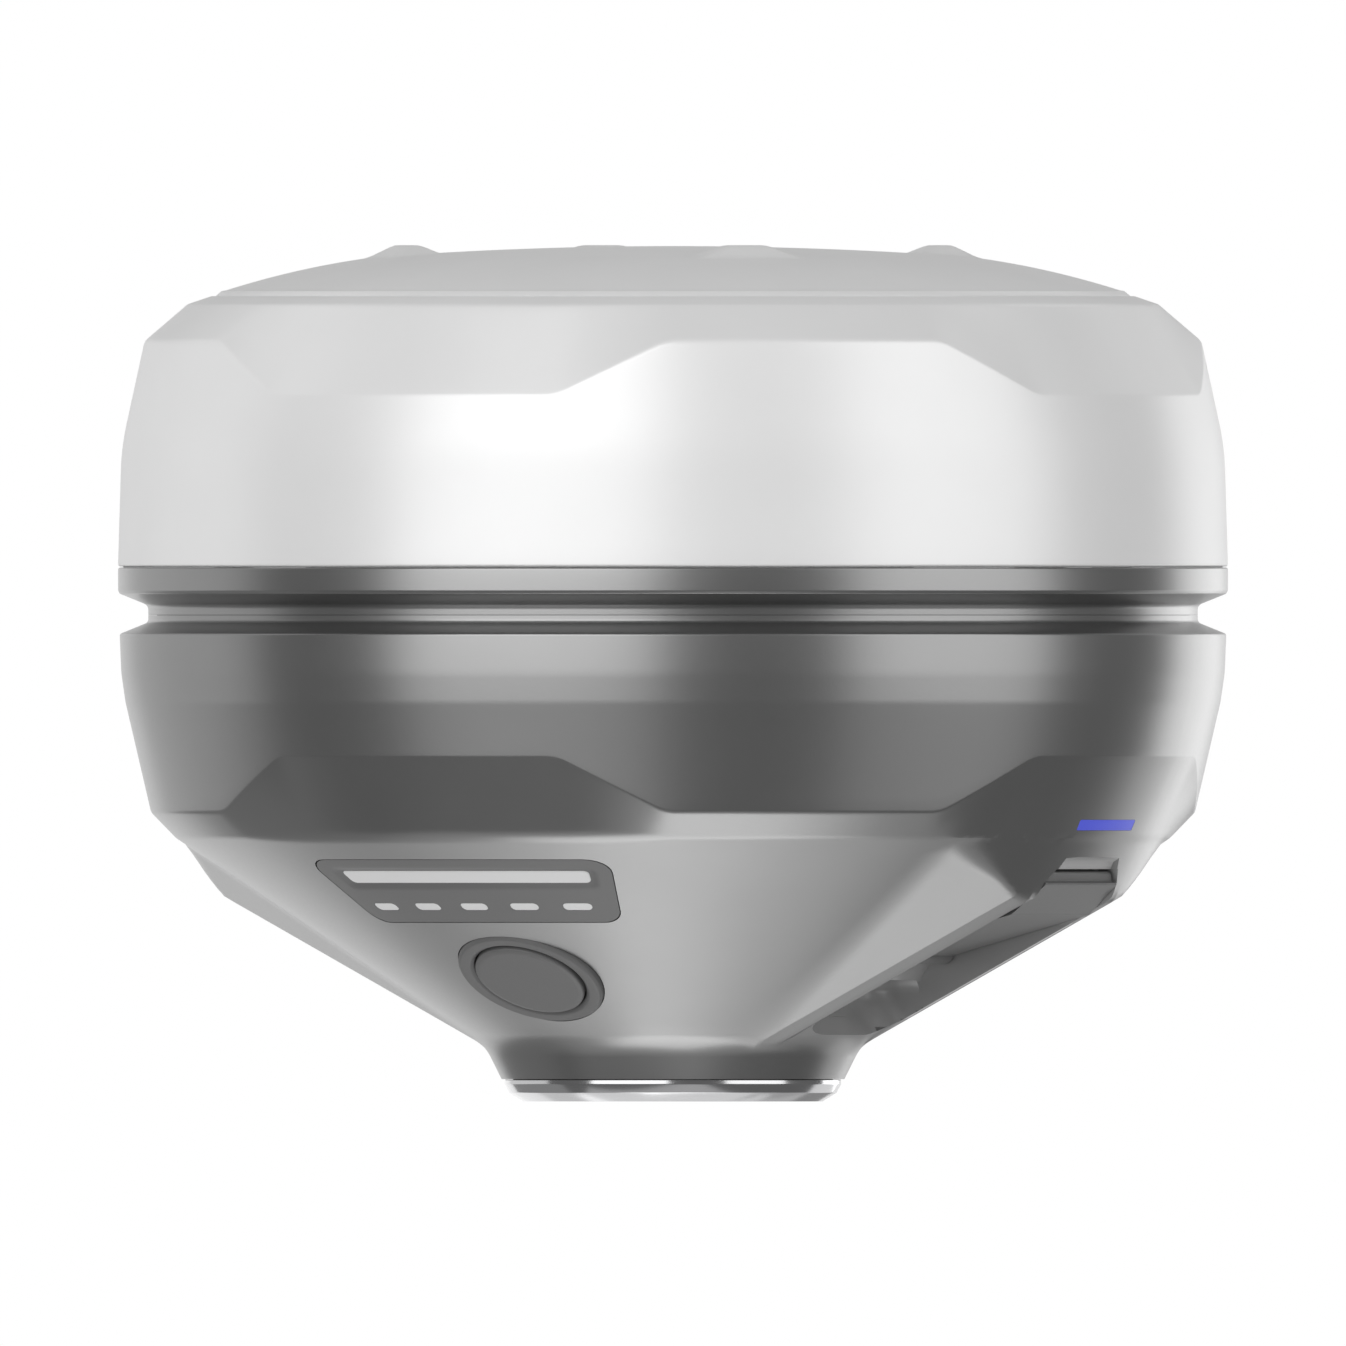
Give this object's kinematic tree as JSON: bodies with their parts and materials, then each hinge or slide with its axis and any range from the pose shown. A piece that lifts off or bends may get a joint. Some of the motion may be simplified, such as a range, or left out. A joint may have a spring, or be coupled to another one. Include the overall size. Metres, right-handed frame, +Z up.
{
  "type": "gnss receiver",
  "caption": "Domed satellite positioning receiver for a survey pole, with a faceted conical body, front lights and button, and hinged doors over its side ports.",
  "frame": {"origin": "centre of the steel shoulder ring's lower face, which is the centre of the bounding box's bottom", "axes": "+Z up along the pole thread's axis, -Y to the front light panel and power button, +X to the radio port"},
  "size_m": [0.134, 0.134, 0.1034],
  "materials": {
    "white_shell": "satin, fine moulded",
    "body_grey": "satin, fine moulded",
    "panel_grey": "satin",
    "light_lens": "frosted",
    "blue_lens": "frosted",
    "button_grey": "satin",
    "polished_steel": "polished",
    "plain_steel": "bright",
    "tin_lid": "matt tin",
    "gold_brass": "gold plated",
    "seal_rubber": "matt",
    "board": "solder mask",
    "patch_ceramic": "matt",
    "chassis_alloy": "plain",
    "cell_wrap": "shrink film",
    "black_plastic": "moulded",
    "wire_red": "sleeving",
    "wire_black": "sleeving"
  },
  "bodies": {
    "receiver": {"radome": "white_shell", "shock_bumper": "white_shell", "middle_ring": "body_grey", "lower_housing": "body_grey", "housing_seal": "seal_rubber", "housing_screws": "plain_steel", "mount_bushing": "polished_steel", "mount_seal": "seal_rubber", "mount_screws": "plain_steel", "indicator_window": "panel_grey", "battery_light_bar": "light_lens", "status_light_lenses": "light_lens", "indicator_board": "board", "indicator_leds": "light_lens", "button_bezel": "button_grey", "button_membrane": "seal_rubber", "button_switch": "black_plastic", "button_board": "board", "radio_light": "blue_lens", "radio_hinge_pin": "plain_steel", "radio_connector": "gold_brass", "radio_connector_nut": "plain_steel", "radio_coax": "wire_black", "usb_hinge_pin": "plain_steel", "usb_connector": "plain_steel", "sim_socket": "plain_steel", "port_board": "board", "antenna_ground_plane": "gold_brass", "antenna_lower_patch": "patch_ceramic", "antenna_upper_patch": "patch_ceramic", "antenna_feed_pins": "gold_brass", "antenna_shield_can": "tin_lid", "antenna_standoffs": "gold_brass", "antenna_screws": "plain_steel", "antenna_coax": "wire_black", "main_board": "board", "gnss_module_can": "tin_lid", "modem_can": "tin_lid", "processor_can": "tin_lid", "wireless_antenna": "patch_ceramic", "buzzer": "black_plastic", "board_standoffs": "gold_brass", "board_screws": "plain_steel", "chassis_plate": "chassis_alloy", "chassis_screws": "plain_steel", "battery_cells": "cell_wrap", "battery_cradle": "black_plastic", "battery_lead": "wire_red"},
    "button": {"power_button": "button_grey"},
    "radio_door": {"radio_door": "body_grey", "radio_door_seal": "seal_rubber"},
    "usb_door": {"usb_door": "body_grey", "usb_door_seal": "seal_rubber"}
  },
  "joints": [
    {"name": "power_button_press", "type": "slide", "parent": "receiver", "child": "button", "axis": [0, 0.555, 0.8318], "range_m": [0, 0.0008], "stiffness_N_per_m": 1500, "springref_m": -0.0004},
    {"name": "radio_door_hinge", "type": "hinge", "parent": "receiver", "child": "radio_door", "pos_m": [0.03214, 0, 0.01808], "axis": [0, 1, 0], "range_deg": [0, 100]},
    {"name": "usb_door_hinge", "type": "hinge", "parent": "receiver", "child": "usb_door", "pos_m": [-0.03214, 0, 0.01808], "axis": [0, -1, 0], "range_deg": [0, 100]}
  ]
}
